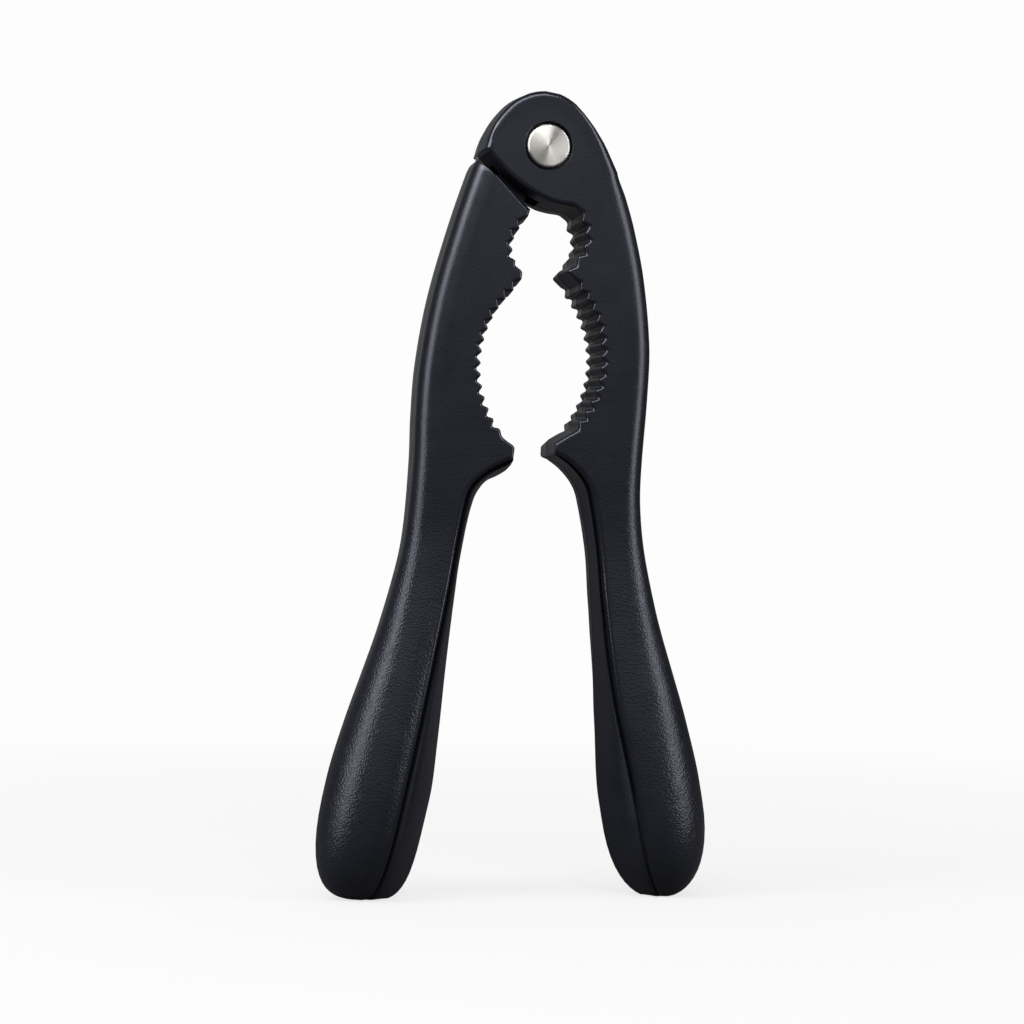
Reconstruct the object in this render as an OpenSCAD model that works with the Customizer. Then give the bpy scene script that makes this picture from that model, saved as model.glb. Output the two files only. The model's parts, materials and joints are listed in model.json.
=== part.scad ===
// Plier nutcracker: two cast aluminium levers that turn on one steel pivot.
// The right lever ends in a fork head, and the left lever's tongue turns inside that fork.
// Below the pivot each lever has a small and a large toothed hollow, which hold a hazelnut or a walnut.
// Millimetres, with X to the right, Y to the back and Z up. The part stands on its two handle ends,
// as far open as in the photograph, and the origin is on the floor below the middle of its box.
// A lever is drawn in its own plane: u runs from the pivot down the lever, and v outwards from that line.

/* [Stance] */
// Lean of the left lever from upright, in degrees
left_lean = 12.4; // [10:0.1:15]
// Lean of the right lever from upright, in degrees
right_lean = 10; // [8:0.1:13]
// Depth of the small flat that each handle end stands on
foot_flat = 1.2; // [0.4:0.1:2]

/* [Lever section] */
// Thickness of the jaws and of the head
jaw_depth = 17; // [14:0.5:20]
// Thickness of the neck, where the handle begins
neck_depth = 16; // [13:0.5:20]
// Thickness of the handle at its fullest
club_depth = 24; // [20:0.5:28]
// How far a cast side wall stands out at the parting line, half way through the thickness
draft = 0.7; // [0:0.1:1.5]
// Radius of the rounding on the outer edges of the jaws
edge_round = 5; // [3:0.25:6]
// Depth of the step where the handle's inner panel begins
panel_step = 0.5; // [0.2:0.1:1]

/* [Left lever] */
// Distance from the pivot to the end of the left handle
left_reach = 183.1; // [175:0.1:195]
// Outer line of the left lever at its jaw, measured from the line through the pivot
left_jaw_out = 18.1; // [16:0.1:20]
// Outer line of the left lever at its neck
left_neck_out = 11; // [9:0.1:13]
// Outer line of the left lever at the full part of the handle
left_club_out = 15.6; // [13:0.1:17]
// Inner line of the left lever at its neck
left_neck_in = -3; // [-4.5:0.1:-2]
// Inner line of the left lever at the full part of the handle
left_club_in = -9.5; // [-11:0.1:-7]

/* [Right lever] */
// Outer line of the right lever at its jaw
right_jaw_out = 19; // [17:0.1:21]
// Outer line of the right lever at its neck
right_neck_out = 9.3; // [8:0.1:12]
// Outer line of the right lever at the full part of the handle
right_club_out = 14.5; // [12:0.1:17]
// Inner line of the right lever at its neck
right_neck_in = -3.6; // [-5:0.1:-3]
// Inner line of the right lever at the full part of the handle
right_club_in = -10.6; // [-12:0.1:-8]

/* [Hollows and teeth] */
// Height of a tooth from root to tip
tooth_height = 1.25; // [0.6:0.05:1.6]
// Distance from one tooth to the next in the left lever's small hollow
left_small_pitch = 2.75; // [2.4:0.05:3.4]
// Distance from one tooth to the next in the right lever's small hollow
right_small_pitch = 3; // [2.4:0.05:3.4]
// Distance from one tooth to the next in the left lever's large hollow
left_large_pitch = 2.75; // [2.4:0.05:3.4]
// Distance from one tooth to the next in the right lever's large hollow
right_large_pitch = 2.8; // [2.4:0.05:3.4]
// Radius of the left lever's small hollow, at the tooth roots
left_small_r = 8.1; // [7.5:0.1:9]
// Radius of the right lever's small hollow, at the tooth roots
right_small_r = 8.7; // [8:0.1:9.5]
// Radius of the left lever's large hollow, at the tooth roots
left_large_r = 26; // [25.5:0.1:27]
// Radius of the right lever's large hollow, at the tooth roots
right_large_r = 26; // [25.5:0.1:27]

/* [Head] */
// Height of the fork head's crown above the pivot, at the parting line
head_r = 13.8; // [12.8:0.1:15]
// Radius of the pocket that the tongue turns in
pocket_r = 10; // [8.5:0.1:10.5]
// Gap between the tongue's rim and the pocket
pocket_gap = 0.5; // [0.3:0.1:1]
// Thickness of the tongue
tongue_t = 6; // [4:0.1:8]
// Thickness of a washer beside the tongue
washer_t = 0.5; // [0.3:0.1:1]
// Outer radius of a washer
washer_r = 7.5; // [6:0.1:8.5]
// Running gap between the tongue and each washer
side_gap = 0.05; // [0.03:0.01:0.1]

/* [Pivot] */
// Radius of the barrel's shank
shank_r = 3.5; // [2.5:0.1:4.5]
// Radius of the barrel's head, the bright disc in front
disc_r = 5.05; // [4.6:0.05:5.6]
// Thickness of the barrel's head
disc_t = 2; // [1.5:0.1:2.5]
// How far the barrel's head stands out of the front
disc_proud = 0.3; // [0:0.05:0.5]
// Gap round the barrel's head and the screw's head in their seats
seat_gap = 0.5; // [0.2:0.05:0.7]
// Radial running clearance between the shank and its bores
bore_gap = 0.05; // [0.02:0.01:0.1]
// Radius of the screw's shank
screw_r = 2; // [1.5:0.1:2.3]
// Radius of the screw's head
screw_head_r = 4.8; // [4.4:0.05:5.6]
// Thickness of the screw's head
screw_head_t = 1.9; // [1.5:0.1:2.5]
// How far the screw's head lies below the back
screw_sunk = 0.2; // [0:0.05:0.5]
// Length of the screw's shank inside the barrel
screw_grip = 8; // [5:0.5:10]
// Size of the hexagonal socket in the screw's head, across flats
socket_af = 3; // [2:0.5:3.5]

/* [Hidden] */
$fn = 96;
black = [0.05, 0.05, 0.06];
steel = [0.72, 0.72, 0.7];
grey = [0.3, 0.3, 0.32];

// Places along a lever, from the pivot
jaw_end_u = 75;
neck_u = 100;
club_u = 158;
club_back = 25; // from the fullest part of a handle to its end
dome_len = 20; // length of a handle's rounded end

half_jaw = jaw_depth / 2;
slot_w = tongue_t + 2 * washer_t + 2 * side_gap;

// A smooth curve through a list of points, whose slope at each is taken from the two beside it
function slope_at(p, i) =
    i == 0 || i == len(p) - 1 ? 0 : (p[i + 1][1] - p[i - 1][1]) / (p[i + 1][0] - p[i - 1][0]);
function span_of(p, x, i = 0) = i >= len(p) - 2 || x < p[i + 1][0] ? i : span_of(p, x, i + 1);
function hermite(a, b, sa, sb, w, t) =
    a * (1 + 2 * t) * (1 - t) * (1 - t) + b * t * t * (3 - 2 * t)
    + sa * w * t * (1 - t) * (1 - t) - sb * w * t * t * (1 - t);
function curve_span(p, x, i) =
    hermite(p[i][1], p[i + 1][1], slope_at(p, i), slope_at(p, i + 1), p[i + 1][0] - p[i][0],
        (x - p[i][0]) / (p[i + 1][0] - p[i][0]));
function curve(p, x) =
    x <= p[0][0] ? p[0][1]
    : x >= p[len(p) - 1][0] ? p[len(p) - 1][1]
    : curve_span(p, x, span_of(p, x));
function clamp(t) = min(max(t, 0), 1);
function blend(a, b, t) = a + (b - a) * clamp(t);

// What differs between the levers, in the order that these names give
REACH = 0;
LEAN = 1;
SIDE = 2;
OUTER = 3;
CREASE = 4;
BELLY = 5;
NOSE = 6;
CREASE_DIP = 7;
BELLY_DIP = 8;
END_OUT = 9;
END_IN = 10;
END_SKEW = 11; // how much further the outer side of the end reaches than the inner side

left = [
    left_reach, left_lean, -1,
    [[0, 14.3], [9, 15.8], [24, 17.3], [41, left_jaw_out], [57, 17.3], [69, 15.5], [79, 13.5],
        [neck_u - 6, left_neck_out + 0.4], [neck_u + 3, left_neck_out],
        [119, blend(left_neck_out, left_club_out, 0.2)], [130, blend(left_neck_out, left_club_out, 0.47)],
        [143, blend(left_neck_out, left_club_out, 0.81)], [left_reach - club_back, left_club_out]],
    [[jaw_end_u, -0.4], [neck_u - 12, -0.1], [neck_u + 9, -1], [left_reach - club_back, -1.3]],
    [[jaw_end_u, left_neck_in], [neck_u - 8, left_neck_in], [130, (left_neck_in + left_club_in) / 2],
        [left_reach - club_back + 5, left_club_in]],
    72.8, 9.8, 9, 2.5, 3.2, 0.1
];

// How far the lowest point of a handle's end lies below the end of its reach along the lean
function end_half(t, n) = pow(1 - pow(t, n), 1 / n);
function end_drop(lean, club_out, club_in, n, skew) =
    max([for (t = [0:0.02:1])
        let (inner = (club_out - club_in) / 2 * end_half(t, n))
        (-dome_len * (1 - t) - skew * inner * t * t) * cos(lean)
        - ((club_out + club_in) / 2 - inner) * sin(lean)]);
left_drop = left_reach * cos(left_lean)
    + end_drop(left_lean, left_club_out, left_club_in, left[END_IN], left[END_SKEW]);
right_end_in = 2.4;
right_reach =
    (left_drop - end_drop(right_lean, right_club_out, right_club_in, right_end_in, 0)) / cos(right_lean);

right = [
    right_reach, right_lean, 1,
    [[-6, 12], [3, 14.4], [8, 16.6], [14, 17.7], [22, 18.6], [34, right_jaw_out], [50, 17.9], [62, 15.5],
        [78, 11.6], [neck_u - 13, right_neck_out + 0.6], [neck_u - 2, right_neck_out],
        [112, blend(right_neck_out, right_club_out, 0.13)],
        [120, blend(right_neck_out, right_club_out, 0.29)],
        [140, blend(right_neck_out, right_club_out, 0.79)], [right_reach - club_back, right_club_out]],
    [[jaw_end_u, -2.4], [neck_u - 12, -2.1], [neck_u - 2, -2.4], [neck_u + 8, -3.2], [131, -4.2],
        [right_reach - club_back, -3.4]],
    [[jaw_end_u, right_neck_in], [neck_u - 8, right_neck_in], [127, (right_neck_in + right_club_in) / 2],
        [right_reach - club_back, right_club_in]],
    71, 8, 7, 2.2, right_end_in, 0
];

// Lines that bound the section of a lever at u
section_half = [[jaw_end_u, half_jaw], [neck_u, neck_depth / 2], [club_u, club_depth / 2]];
crease_half = [[jaw_end_u, half_jaw], [neck_u, neck_depth / 2 - 0.2], [club_u, club_depth / 2 - 1]];
function dip(L, u, depth, length) = depth * pow(1 - clamp((u - L[NOSE]) / length), 2);
function outer_at(L, u) = curve(L[OUTER], u);
function crease_at(L, u) = curve(L[CREASE], u) - dip(L, u, L[CREASE_DIP], 12);
function belly_at(L, u) = curve(L[BELLY], u) - dip(L, u, L[BELLY_DIP], 14.5);
function full_width(L) = L[OUTER][len(L[OUTER]) - 1][1] - L[BELLY][len(L[BELLY]) - 1][1];
function full_middle(L) = (L[OUTER][len(L[OUTER]) - 1][1] + L[BELLY][len(L[BELLY]) - 1][1]) / 2;

// The outer edge's rounding, which the club's full roundness takes over from. By the head it gives
// way to a plain drafted wall with a small rounding, given as shares of the draft and of the depth.
ARC_STEPS = 4;
wall_in = [0.35, 0.65, 0.93, 1.2, 1.7];
wall_up = [0.35, 0.65, 0.92, 0.98, 1];
round_start = [[20, edge_round], [jaw_end_u, edge_round + 0.2], [neck_u, edge_round + 1.2]];
function round_v(L, u) =
    curve(concat(round_start, [[130, 9.5], [L[REACH] - club_back, full_width(L) / 2]]), u);
function round_y(L, u) =
    curve(concat(round_start, [[130, 9.6], [L[REACH] - club_back, club_depth / 2]]), u);
function corner_point(L, u, i, h) =
    let (
        o = outer_at(L, u),
        a = 90 * i / ARC_STEPS,
        soft = [o - round_v(L, u) * (1 - cos(a)), h - round_y(L, u) * (1 - sin(a))],
        plain = [o - draft * wall_in[i], h * wall_up[i]]
    ) blend(plain, soft, L[SIDE] > 0 ? (u + 8) / 26 : 1);

// Half of a section: the outer edge, the face, the crease, and the inner panel to the parting line
function half_section(L, u) =
    let (
        h = curve(section_half, u),
        e = crease_at(L, u),
        m = belly_at(L, u),
        ye = curve(crease_half, u),
        step = blend(0.1, panel_step, (u - jaw_end_u) / 10),
        p = e - step * 0.6,
        full = clamp((u - jaw_end_u) / 15),
        top = corner_point(L, u, ARC_STEPS, h)
    ) concat(
        [for (i = [0:ARC_STEPS]) corner_point(L, u, i, h)],
        [for (k = [1, 2]) [top[0] + (e - top[0]) * k / 3, h - (h - ye) * k * k / 9]],
        [[e, ye]],
        [for (n = [1, 0.85, 0.6, 0.3])
            [p - (p - m) * ((1 - full) * (1 - n) + full * sqrt(1 - n * n)), (ye - step) * n]]
    );
function section(L, u) =
    let (s = half_section(L, u))
    concat(
        [[outer_at(L, u), 0]],
        s,
        [[belly_at(L, u), 0]],
        [for (i = [len(s) - 1:-1:0]) [s[i][0], -s[i][1]]]
    );

// The handle's end closes like a dome, squarer on its inner side
function ring(L, u) =
    let (
        t = clamp((u - L[REACH] + dome_len) / dome_len),
        mid = full_middle(L),
        so = end_half(t, L[END_OUT]),
        si = end_half(t, L[END_IN])
    ) [for (p = section(L, u))
        let (v = (p[0] - mid) * (p[0] > mid ? so : si))
        [mid + v, p[1] * (so + si) / 2, u + L[END_SKEW] * v * t * t]];

// Rings along a lever: few where it is straight, close together below the nose and at the end
dip_steps = [0.8, 1.6, 2.6, 3.8, 5.2, 7, 9, 11.5, 14.5];
dome_angles = [15, 28, 40, 51, 61, 70, 77, 83, 87];
function stations(L) =
    let (a = L[NOSE] + 14.5, b = L[REACH] - dome_len)
    concat(
        L[SIDE] > 0 ? [-3, 0, 3, 6, 10, 15] : [3, 9, 15],
        [for (k = [0:7]) 21 + k * (L[NOSE] - 21) / 7],
        [for (d = dip_steps) L[NOSE] + d],
        [for (k = [1:16]) a + k * (b - a) / 16],
        [for (g = dome_angles) L[REACH] - dome_len * (1 - sin(g))]
    );

// Joins rings of equal length into one closed solid
module skin(rings) {
    n = len(rings[0]);
    last = len(rings) - 1;
    polyhedron(
        points = [for (r = rings) each r],
        faces = concat(
            [[for (i = [0:n - 1]) i]],
            [for (k = [0:last - 1], i = [0:n - 1])
                each let (a = k * n + i, b = k * n + (i + 1) % n) [[a, a + n, b], [b, a + n, b + n]]],
            [[for (i = [n - 1:-1:0]) last * n + i]]
        )
    );
}

// A row of teeth on a round hollow, as points [u, v]. Angles are counted from the outward direction
// towards the handle, and w is how far the drafted wall stands in at the height that is drawn.
tip_flat = 0.3;
function on_arc(c, r, a) = [c[0] + r * sin(a), c[1] + r * cos(a)];
function teeth(c, r, pitch, first, count, w) =
    let (
        tip = r - tooth_height - w,
        da = pitch / (r - tooth_height / 2) * 180 / PI,
        df = tip_flat / r * 90 / PI
    ) concat(
        [for (k = [0:count - 1])
            let (a = first + k * da)
            each [on_arc(c, r - w, a - da / 2), on_arc(c, tip, a - df), on_arc(c, tip, a + df)]],
        [on_arc(c, r - w, first + (count - 0.5) * da)]
    );

// Plain points between the rows, each with the direction in which its wall stands in
function walls(points, w) = [for (p = points) [p[0] + w * p[2], p[1] + w * p[3]]];

function left_path(w) = concat(
    walls([[1.5, 26.3, -0.87, -0.5], [8.4, 14.3, -0.87, -0.5], [16, 0.9, -0.6, -1],
        [17.4, 0.9, 0.2, -1]], w),
    teeth([24, -4.1], left_small_r, left_small_pitch, -26.5, 4, w),
    walls([[30.3, -0.7, -0.5, -1], [32.5, -1, 0.5, -1]], w),
    teeth([49, -20.7], left_large_r, left_large_pitch, -32.7, 14, w),
    walls([[70, -6.4, -0.8, -0.6], [70.8, -8.7, -0.5, -1.6], [73.8, -9, 0.8, -1.9], [75, -18, 0, -1]], w),
    [[-30, -18], [-30, 26.3]]
);
function right_path(w) = concat(
    walls([[-0.4, -22, 0, -1], [-0.4, -14.5, 0, -0.8], [0.9, -13.5, 0.7, -0.6], [5, -10.8, 0.6, -0.8],
        [8.5, -7.6, 0.7, -0.7], [10.9, -4.7, 0.8, -0.6], [13, -1.5, 0.9, -0.3], [14, 1, 1, -0.2],
        [14.8, 3.9, 0.9, -0.5]], w),
    teeth([21, -2.1], right_small_r, right_small_pitch, -17, 4, w),
    walls([[29.6, -0.3, -0.5, -1], [32.4, 1.5, 0.4, -0.9]], w),
    teeth([46.7, -19.8], right_large_r, right_large_pitch, -28.4, 13, w),
    walls([[68, -6, -0.8, -0.6], [69.3, -9.4, -0.4, -0.5], [71.9, -10, 0.9, -0.4], [73, -22, 0, -1]], w)
);

// The space beside a lever's jaws, as a solid that is narrowest at the parting line
module jaw_space(face, middle) {
    out = half_jaw + 2;
    skin([for (y = [out, 0, -out])
        [for (i = [0:len(face) - 1])
            let (p = face[i] + (middle[i] - face[i]) * (1 - abs(y) / half_jaw))
            [p[1], y, p[0]]]]);
}

// The fork head without its pocket: a drafted plate, round at its crown and wider on both flanks.
// The list says how far its rim stands beyond head_r at each angle, from upright towards the left lever.
head_form = [[-115, 4.5], [-104, 2.1], [-85, -0.1], [-63, -1.1], [-40, -0.8], [-15, -0.2],
    [18, 0], [47, 0.1], [69, 0.9], [86, 1.7]];
head_levels = [[-1, 1.7], [-0.98, 1.2], [-0.92, 0.93], [0, 0], [0.92, 0.93], [0.98, 1.2], [1, 1.7]];
head_corner = [1, 2.6];
head_low_u = 8;
function head_point(a, r) = [-(r + curve(head_form, a)) * cos(a), -(r + curve(head_form, a)) * sin(a)];
function head_outline(r) = concat(
    [[head_low_u, 0], [head_low_u, -r - head_corner[1]], [head_corner[0], -r - head_corner[1]]],
    [for (a = [85:-10:-105]) head_point(a, r)]
);
module head() {
    skin([for (k = head_levels)
        [for (p = head_outline(head_r - draft * k[1])) [p[1], -half_jaw * k[0], p[0]]]]);
}

// Stands a lever up: its own u runs down from the pivot, and its v outwards
pivot_z = left_drop - foot_flat;
function reach_out(L) = max([for (u = stations(L), p = ring(L, u)) u * sin(L[LEAN]) + p[0] * cos(L[LEAN])]);
pivot_x = (reach_out(left) - reach_out(right)) / 2;
module stand(L) {
    translate([pivot_x, 0, pivot_z])
        multmatrix([
            [L[SIDE] * cos(L[LEAN]), 0, L[SIDE] * sin(L[LEAN]), 0],
            [0, 1, 0, 0],
            [sin(L[LEAN]), 0, -cos(L[LEAN]), 0],
            [0, 0, 0, 1]
        ])
        children();
}

// A round bar along Y, from front to back, and a plate of a flat shape given as points [u, v]
module bar(r, front, back) {
    translate([0, back, 0])
        rotate([90, 0, 0])
        cylinder(r = r, h = back - front);
}
module plate(points, depth) {
    rotate([90, 0, 0])
        linear_extrude(height = depth, center = true)
        polygon([for (p = points) [p[1], p[0]]]);
}
module floor_cut() {
    translate([-100, -50, -20])
        cube([200, 100, 20]);
}

// The tongue: a round plate with a neck that is rooted behind the shoulder
tongue_root = [[8.9, 1.2], [16.5, 2.2], [17, 4.5], [12, 12.5], [6.1, 6.6]];
module left_lever() {
    color(black)
    difference() {
        stand(left)
        union() {
            difference() {
                skin([for (u = stations(left)) ring(left, u)]);
                jaw_space(left_path(0), left_path(draft));
            }
            bar(pocket_r - pocket_gap, -tongue_t / 2, tongue_t / 2);
            plate(tongue_root, tongue_t);
        }
        at_pivot() bar(shank_r + bore_gap, -tongue_t, tongue_t);
        floor_cut();
    }
}

// The pocket opens through the rim only between these directions, counted from the lever's own line
mouth_from = 14.4;
mouth_to = 80;
function mouth_point(a, r) = [r * cos(a), -r * sin(a)];
front_seat = half_jaw + disc_proud - disc_t;
rear_seat = half_jaw - screw_sunk - screw_head_t;
module right_lever() {
    color(black)
    difference() {
        stand(right)
        difference() {
            union() {
                skin([for (u = stations(right)) ring(right, u)]);
                head();
            }
            jaw_space(right_path(0), right_path(draft));
            bar(pocket_r, -slot_w / 2, slot_w / 2);
            plate([[0, 0], mouth_point(mouth_from, 20), mouth_point((mouth_from + mouth_to) / 2, 24),
                mouth_point(mouth_to, 20)], slot_w);
        }
        at_pivot() {
            bar(shank_r + bore_gap, -half_jaw - 1, half_jaw + 1);
            bar(disc_r + seat_gap, -half_jaw - 1, -front_seat);
            bar(screw_head_r + seat_gap, rear_seat, half_jaw + 1);
        }
        floor_cut();
    }
}

module at_pivot() {
    translate([pivot_x, 0, pivot_z])
        children();
}

// The barrel: a bright disc in front, a plain shank, and a threaded bore that takes the screw
disc_chamfer = 0.3;
barrel_end = rear_seat - 0.2;
bore_end = rear_seat - screw_grip - 1;
module pivot_barrel() {
    color(steel)
    at_pivot()
    difference() {
        union() {
            translate([0, -front_seat, 0])
                rotate([90, 0, 0]) {
                cylinder(r = disc_r, h = disc_t - disc_chamfer);
                translate([0, 0, disc_t - disc_chamfer])
                    cylinder(r1 = disc_r, r2 = disc_r - disc_chamfer, h = disc_chamfer);
            }
            bar(shank_r, -front_seat - disc_t / 2, barrel_end);
        }
        bar(screw_r + bore_gap, bore_end, barrel_end + 1);
    }
}

// The screw, from the back: a flat head with a hexagonal socket
module pivot_screw() {
    color(steel)
    at_pivot()
    difference() {
        union() {
            bar(screw_head_r, rear_seat, rear_seat + screw_head_t);
            bar(screw_r, rear_seat - screw_grip, rear_seat + screw_head_t / 2);
        }
        translate([0, rear_seat + screw_head_t + 1, 0])
            rotate([90, 0, 0])
            cylinder(r = socket_af / sqrt(3), h = screw_head_t, $fn = 6);
    }
}

// Washers lie between the tongue and the two cheeks of the fork
module washer(front) {
    color(grey)
    at_pivot()
    difference() {
        bar(washer_r, front, front + washer_t);
        bar(shank_r + bore_gap, front - 1, front + washer_t + 1);
    }
}
module front_washer() {
    washer(-slot_w / 2);
}
module rear_washer() {
    washer(slot_w / 2 - washer_t);
}

left_lever();
right_lever();
pivot_barrel();
pivot_screw();
front_washer();
rear_washer();
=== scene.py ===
# %% [markdown]
# # A plier nutcracker, dressed for its portrait
# Two cast levers turn on one bright pivot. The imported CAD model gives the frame: where each piece
# sits, what turns about what, and every size. This lesson gives the levers the finer shape of a
# casting (rounded teeth, a parting line, a panel line down each handle) and gives every piece its
# finish. We work in millimetres where shapes are drawn, and in metres once they enter Blender.

# %% Load the frame
import json
import math
import bmesh
import bpy
import numpy as np
from mathutils import Matrix, Vector


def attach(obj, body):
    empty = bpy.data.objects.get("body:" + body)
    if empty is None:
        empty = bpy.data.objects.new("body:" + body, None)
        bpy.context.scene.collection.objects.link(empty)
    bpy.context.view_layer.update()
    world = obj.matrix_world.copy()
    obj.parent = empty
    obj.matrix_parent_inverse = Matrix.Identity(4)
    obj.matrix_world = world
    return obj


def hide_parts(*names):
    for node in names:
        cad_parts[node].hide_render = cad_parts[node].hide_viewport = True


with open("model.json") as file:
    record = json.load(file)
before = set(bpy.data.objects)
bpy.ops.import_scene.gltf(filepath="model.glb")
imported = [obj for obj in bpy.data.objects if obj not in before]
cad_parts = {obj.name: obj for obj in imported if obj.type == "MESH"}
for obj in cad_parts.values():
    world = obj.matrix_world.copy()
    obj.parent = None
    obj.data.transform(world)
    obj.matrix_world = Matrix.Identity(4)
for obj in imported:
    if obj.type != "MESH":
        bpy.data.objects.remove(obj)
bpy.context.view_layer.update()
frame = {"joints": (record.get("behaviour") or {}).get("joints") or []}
MM = 0.001
pivot = Vector(frame["joints"][0]["pos_m"]) / MM
print("pivot at", [round(x, 2) for x in pivot], "mm")

# %% [markdown]
# ## The camera first
# The photograph looks at the tool from 12 degrees to its left, from about half a metre, a little
# below the middle of its height, and the picture is turned by about one degree. A lens is easier to
# trust as a focal length in pixels of the picture, so Blender's millimetres are worked out from it.

# %% The camera at the photograph's place
PICTURE = 1024
FOCAL_PIXELS = 2315.8
camera_azimuth = math.radians(12)
camera_distance = 550.0
camera_height = pivot.z - 97.42
aim_height = pivot.z - 86.19
camera_roll = 0.0162
frame_shift = pivot.x - 5.67  # the camera was solved with the pivot 5.67 mm right of its own centre


def place_camera():
    eye = Vector((frame_shift - camera_distance * math.sin(camera_azimuth),
                  -camera_distance * math.cos(camera_azimuth), camera_height))
    forward = (Vector((frame_shift, 0, aim_height)) - eye).normalized()
    level = Vector((math.cos(camera_azimuth), -math.sin(camera_azimuth), 0))
    above = level.cross(forward)
    right = level * math.cos(camera_roll) + above * math.sin(camera_roll)
    up = above * math.cos(camera_roll) - level * math.sin(camera_roll)
    data = bpy.data.cameras.new("camera")
    data.sensor_width = 36
    data.lens = data.sensor_width * FOCAL_PIXELS / PICTURE
    data.clip_start = 0.01
    camera = bpy.data.objects.new("camera", data)
    bpy.context.scene.collection.objects.link(camera)
    turn = Matrix((right, up, -forward)).transposed().to_4x4()
    turn.translation = eye * MM
    camera.matrix_world = turn
    bpy.context.scene.camera = camera
    return camera


camera = place_camera()
print("lens", round(camera.data.lens, 1), "mm")

# %% [markdown]
# ## Drawing a lever
# A lever is drawn in its own plane. u runs from the pivot down the lever, v points outwards from
# that line, and y is the thickness, with the parting line of the mould at y = 0. A few points that
# a person can read are joined by a smooth curve, so the outline stays easy to change.


# %% A smooth curve through a few points
def slope(points, i):
    if i == 0 or i == len(points) - 1:
        return 0.0
    (x0, y0), (x1, y1) = points[i - 1], points[i + 1]
    return (y1 - y0) / (x1 - x0)


def curve(points, x):
    """The height of the curve at x; it stays level beyond its ends."""
    if x <= points[0][0]:
        return points[0][1]
    if x >= points[-1][0]:
        return points[-1][1]
    i = max(k for k, p in enumerate(points) if p[0] <= x)
    (x0, y0), (x1, y1) = points[i], points[i + 1]
    w = x1 - x0
    t = (x - x0) / w
    return (y0 * (1 + 2 * t) * (1 - t) ** 2 + y1 * t * t * (3 - 2 * t)
            + slope(points, i) * w * t * (1 - t) ** 2 - slope(points, i + 1) * w * t * t * (1 - t))


print("a curve through (0, 0), (1, 2), (2, 1) at 1.5:", round(curve([(0, 0), (1, 2), (2, 1)], 1.5), 3))

# %% [markdown]
# Three small helpers do the rest: a limit, a blend of two values, and a blend that starts and ends
# gently.


# %% Helpers that blend
def clamp(t):
    return min(max(t, 0.0), 1.0)


def mix(a, b, t):
    return a + (b - a) * t


def ease(t):
    t = clamp(t)
    return t * t * (3 - 2 * t)


print("eased quarter:", ease(0.25))

# %% [markdown]
# ## The outlines
# These are the sizes of the real casting in millimetres, read from the photograph at the scale of
# the CAD model: the outer line, the crease where the handle's inner panel begins, and how far that
# panel bulges at the parting line. reach is how far the handle's end is from the pivot, dome is the
# length of its rounding, and end_out and end_in say how square that rounding is on either side.

# %% Sizes of the two levers
HALF_JAW, HALF_NECK, HALF_CLUB = 8.5, 8.0, 12.0  # half the thickness at the jaws, the neck and the club
DRAFT = 0.7  # how far a wall leans out from the face to the parting line
EDGE_ROUND = 4.6  # radius of the long outer edges at the jaws
thickness = [(30, HALF_JAW), (75, HALF_JAW - 0.4), (100, HALF_NECK - 0.2), (158, HALF_CLUB)]
crease_thickness = thickness[:2] + [(100, HALF_NECK - 0.4), (158, HALF_CLUB - 1)]

left = dict(
    side=-1, lean=math.radians(12.4), reach=182.3, dome=25.2, end_out=2.7, end_in=4.2,
    outer=[(0, 14.3), (9, 15.8), (24, 17.3), (41, 18.1), (57, 17.3), (69, 15.5), (79, 13.55), (94, 11.45),
           (103, 11.0), (119, 11.9), (130, 13.15), (143, 14.75), (156, 15.65)],
    crease=[(75, -0.4), (88, -0.1), (109, -1.0), (156, -1.3)],
    bulge=[(73.4, 1.9), (74.2, 2.25), (75, 2.5), (76.2, 2.6), (78, 2.4), (81, 2.9), (84, 3.1), (88, 2.9),
           (94, 2.75), (104, 2.8), (123, 4.5), (142, 6.8), (156, 8.1)],
    nose=72.8, nose_drop=9.8, full_from=75, full_over=12, end_skew=0.1,
)
right = dict(
    side=1, lean=math.radians(10), reach=180.8, dome=21.2, end_out=2.2, end_in=2.4,
    outer=[(8, 16.7), (14, 17.7), (22, 18.6), (34, 19.0), (50, 17.9), (62, 15.5), (78, 11.6), (87, 9.95),
           (98, 9.3), (112, 9.95), (120, 10.8), (127, 11.75), (140, 13.4), (155, 14.5)],
    crease=[(75, -2.4), (88, -2.1), (98, -2.4), (108, -3.2), (131, -4.2), (155, -3.4)],
    bulge=[(71, 0.8), (74, 0.8), (76.3, 1.1), (79.5, 1.45), (82, 1.65), (88, 1.6), (96, 1.45), (103, 1.6),
           (112, 1.8), (122, 2.6), (136, 4.5), (155, 7.2)],
    nose=71.0, nose_drop=7.9, full_from=85, full_over=50, end_skew=0.0,
)
# The round head: its angle about the pivot, and how far out its edge is there.
head_outline = [(-128.5, 23.3), (-115.3, 18.5), (-103.7, 15.9), (-84.7, 13.7), (-62.7, 12.65), (-39.5, 13.0),
                (-15, 13.6), (18, 13.8), (47, 13.9), (69, 14.7), (86, 15.5)]
NOSE_LENGTH = 12  # the crease swings out to the lower nose over this length


def crease_at(lever, u):
    drop = lever["nose_drop"] * (1 - clamp((u - lever["nose"]) / NOSE_LENGTH)) ** 2
    return curve(lever["crease"], u) - drop


print("crease at the waist:", [round(crease_at(lever, 100), 2) for lever in (left, right)], "mm")

# %% [markdown]
# ## The toothed side
# Each hollow is an arc with a row of triangular teeth on it. A point of the inner side carries four
# things: where the face's edge is, which way the drafted wall stands out from there, how far it
# stands out at the parting line, and which place on the outer line it is joined to across the face.

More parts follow.
